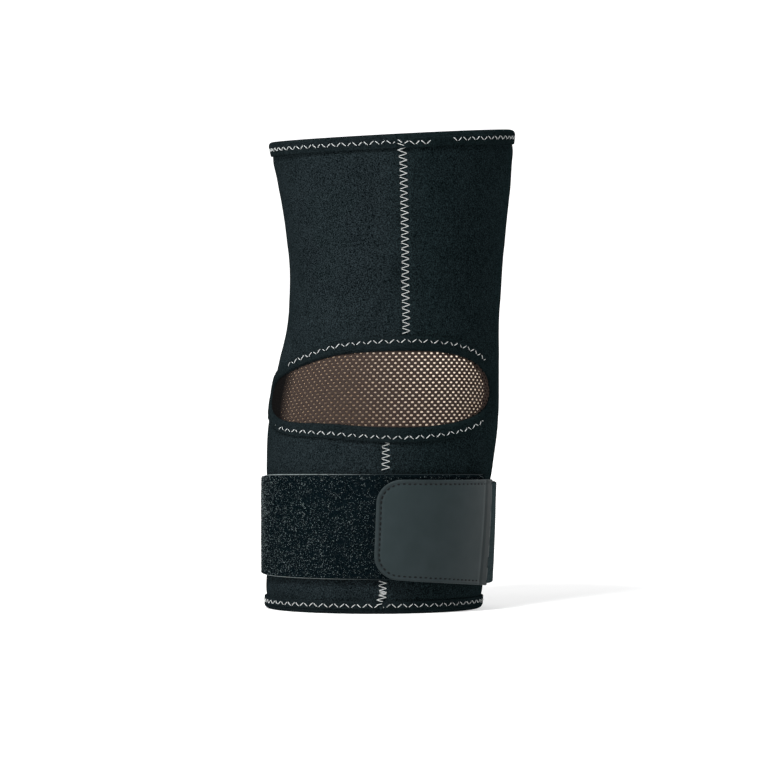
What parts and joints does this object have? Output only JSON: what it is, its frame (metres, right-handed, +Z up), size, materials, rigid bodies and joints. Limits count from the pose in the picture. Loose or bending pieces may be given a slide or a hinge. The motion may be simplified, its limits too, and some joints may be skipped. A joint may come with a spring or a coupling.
{
  "type": "knee brace",
  "caption": "Pull-on neoprene knee sleeve with a mesh window behind the knee, zigzag seams and a wrap strap closed by a hook-and-loop tab.",
  "frame": {"origin": "bottom centre of the whole brace's box, under the leg's axis", "axes": "+X to the wearer's right, +Y to the front (kneecap side), +Z up the leg; the mesh window faces -Y"},
  "size_m": [0.1391, 0.1321, 0.2612],
  "materials": {
    "neoprene": "jersey-faced neoprene sheet, very dark blue-grey, matt",
    "binding": "folded knitted binding, black, matt",
    "mesh_fabric": "open knitted mesh, dark brown-black",
    "white_thread": "white polyester thread",
    "black_thread": "black polyester thread",
    "ring_foam": "fabric-covered soft foam, black",
    "band_foam": "thin laminated foam, grey at its cut edges",
    "loop_pile": "brushed nylon loop pile, black",
    "elastic": "woven elastic, black, matt",
    "hook": "moulded hook fastener, black",
    "leatherette": "smooth leatherette, charcoal, slight sheen"
  },
  "bodies": {
    "calf": {"calf_panel": "neoprene", "knee_panel": "neoprene", "calf_hem_binding": "binding", "calf_hem_stitching": "white_thread", "calf_seam_stitching": "white_thread", "knee_seam_stitching": "white_thread", "window_binding": "binding", "window_stitching": "white_thread", "popliteal_mesh": "mesh_fabric", "kneecap_ring": "ring_foam", "kneecap_ring_stitching": "black_thread", "loop_band_core": "band_foam", "loop_band_face": "loop_pile", "loop_band_stitching": "black_thread", "strap_root": "elastic", "strap_root_stitching": "black_thread"},
    "thigh": {"thigh_panel": "neoprene", "thigh_hem_binding": "binding", "thigh_hem_stitching": "white_thread", "thigh_seam_stitching": "white_thread"},
    "strap_arm": {"strap_elastic": "elastic"},
    "strap_tab": {"tab_hook_patch": "hook", "tab_core": "band_foam", "tab_cover": "leatherette", "tab_stitching": "black_thread"}
  },
  "joints": [
    {"name": "knee_flexion", "type": "hinge", "parent": "calf", "child": "thigh", "pos_m": [-0.0004, -0.016, 0.118], "axis": [1, 0, 0], "range_deg": [0, 90], "stiffness_Nm_per_rad": 0.5, "deforming": ["knee_panel", "window_binding", "popliteal_mesh", "window_stitching", "knee_seam_stitching", "kneecap_ring", "kneecap_ring_stitching"]},
    {"name": "strap_swing", "type": "hinge", "parent": "calf", "child": "strap_arm", "pos_m": [0.03372, 0.04314, 0.0415], "axis": [0.068, 0.0349, 0.9971], "range_deg": [0, 90]},
    {"name": "tab_peel", "type": "hinge", "parent": "strap_arm", "child": "strap_tab", "pos_m": [0.05352, -0.02768, 0.0423], "axis": [0.0795, -0.0115, 0.9968], "range_deg": [0, 110]}
  ]
}
